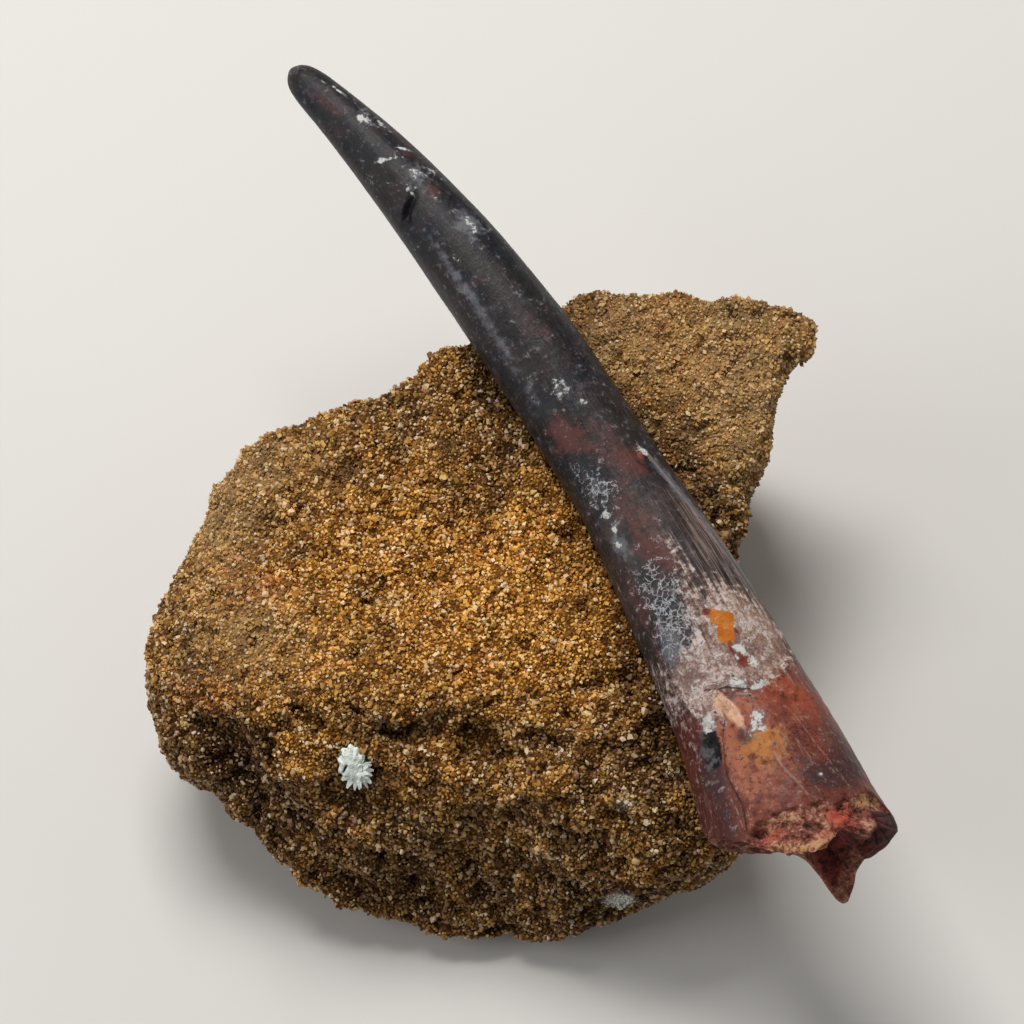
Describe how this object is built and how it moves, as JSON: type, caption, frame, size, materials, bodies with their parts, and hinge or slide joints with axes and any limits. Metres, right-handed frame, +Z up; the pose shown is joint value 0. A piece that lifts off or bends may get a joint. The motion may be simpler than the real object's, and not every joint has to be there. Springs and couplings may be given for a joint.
{
  "type": "fossil spinosaurus tooth on sandstone",
  "caption": "Long curved conical fossil tooth with a broken root end, bedded across a lump of coarse sandstone with a flat underside and a white crust rosette.",
  "frame": {"origin": "centre of the object's footprint box, on the level of the sandstone's flat underside", "axes": "+Z up from the flat underside; +Y towards the tooth's tip end, the longest side; +X to the right seen from the broken root end"},
  "size_m": [0.0853, 0.0969, 0.0456],
  "materials": {
    "tooth_enamel": "glossy dark blue-grey enamel turning red-brown at the root, with white mineral flecks and a rough orange-red break",
    "sandstone": "rough golden-brown coarse sand grains",
    "white_crust": "matt white radiating crust"
  },
  "bodies": {
    "root": {"spinosaurus_tooth": "tooth_enamel", "sandstone_matrix": "sandstone", "white_crust_rosette": "white_crust"}
  },
  "joints": []
}
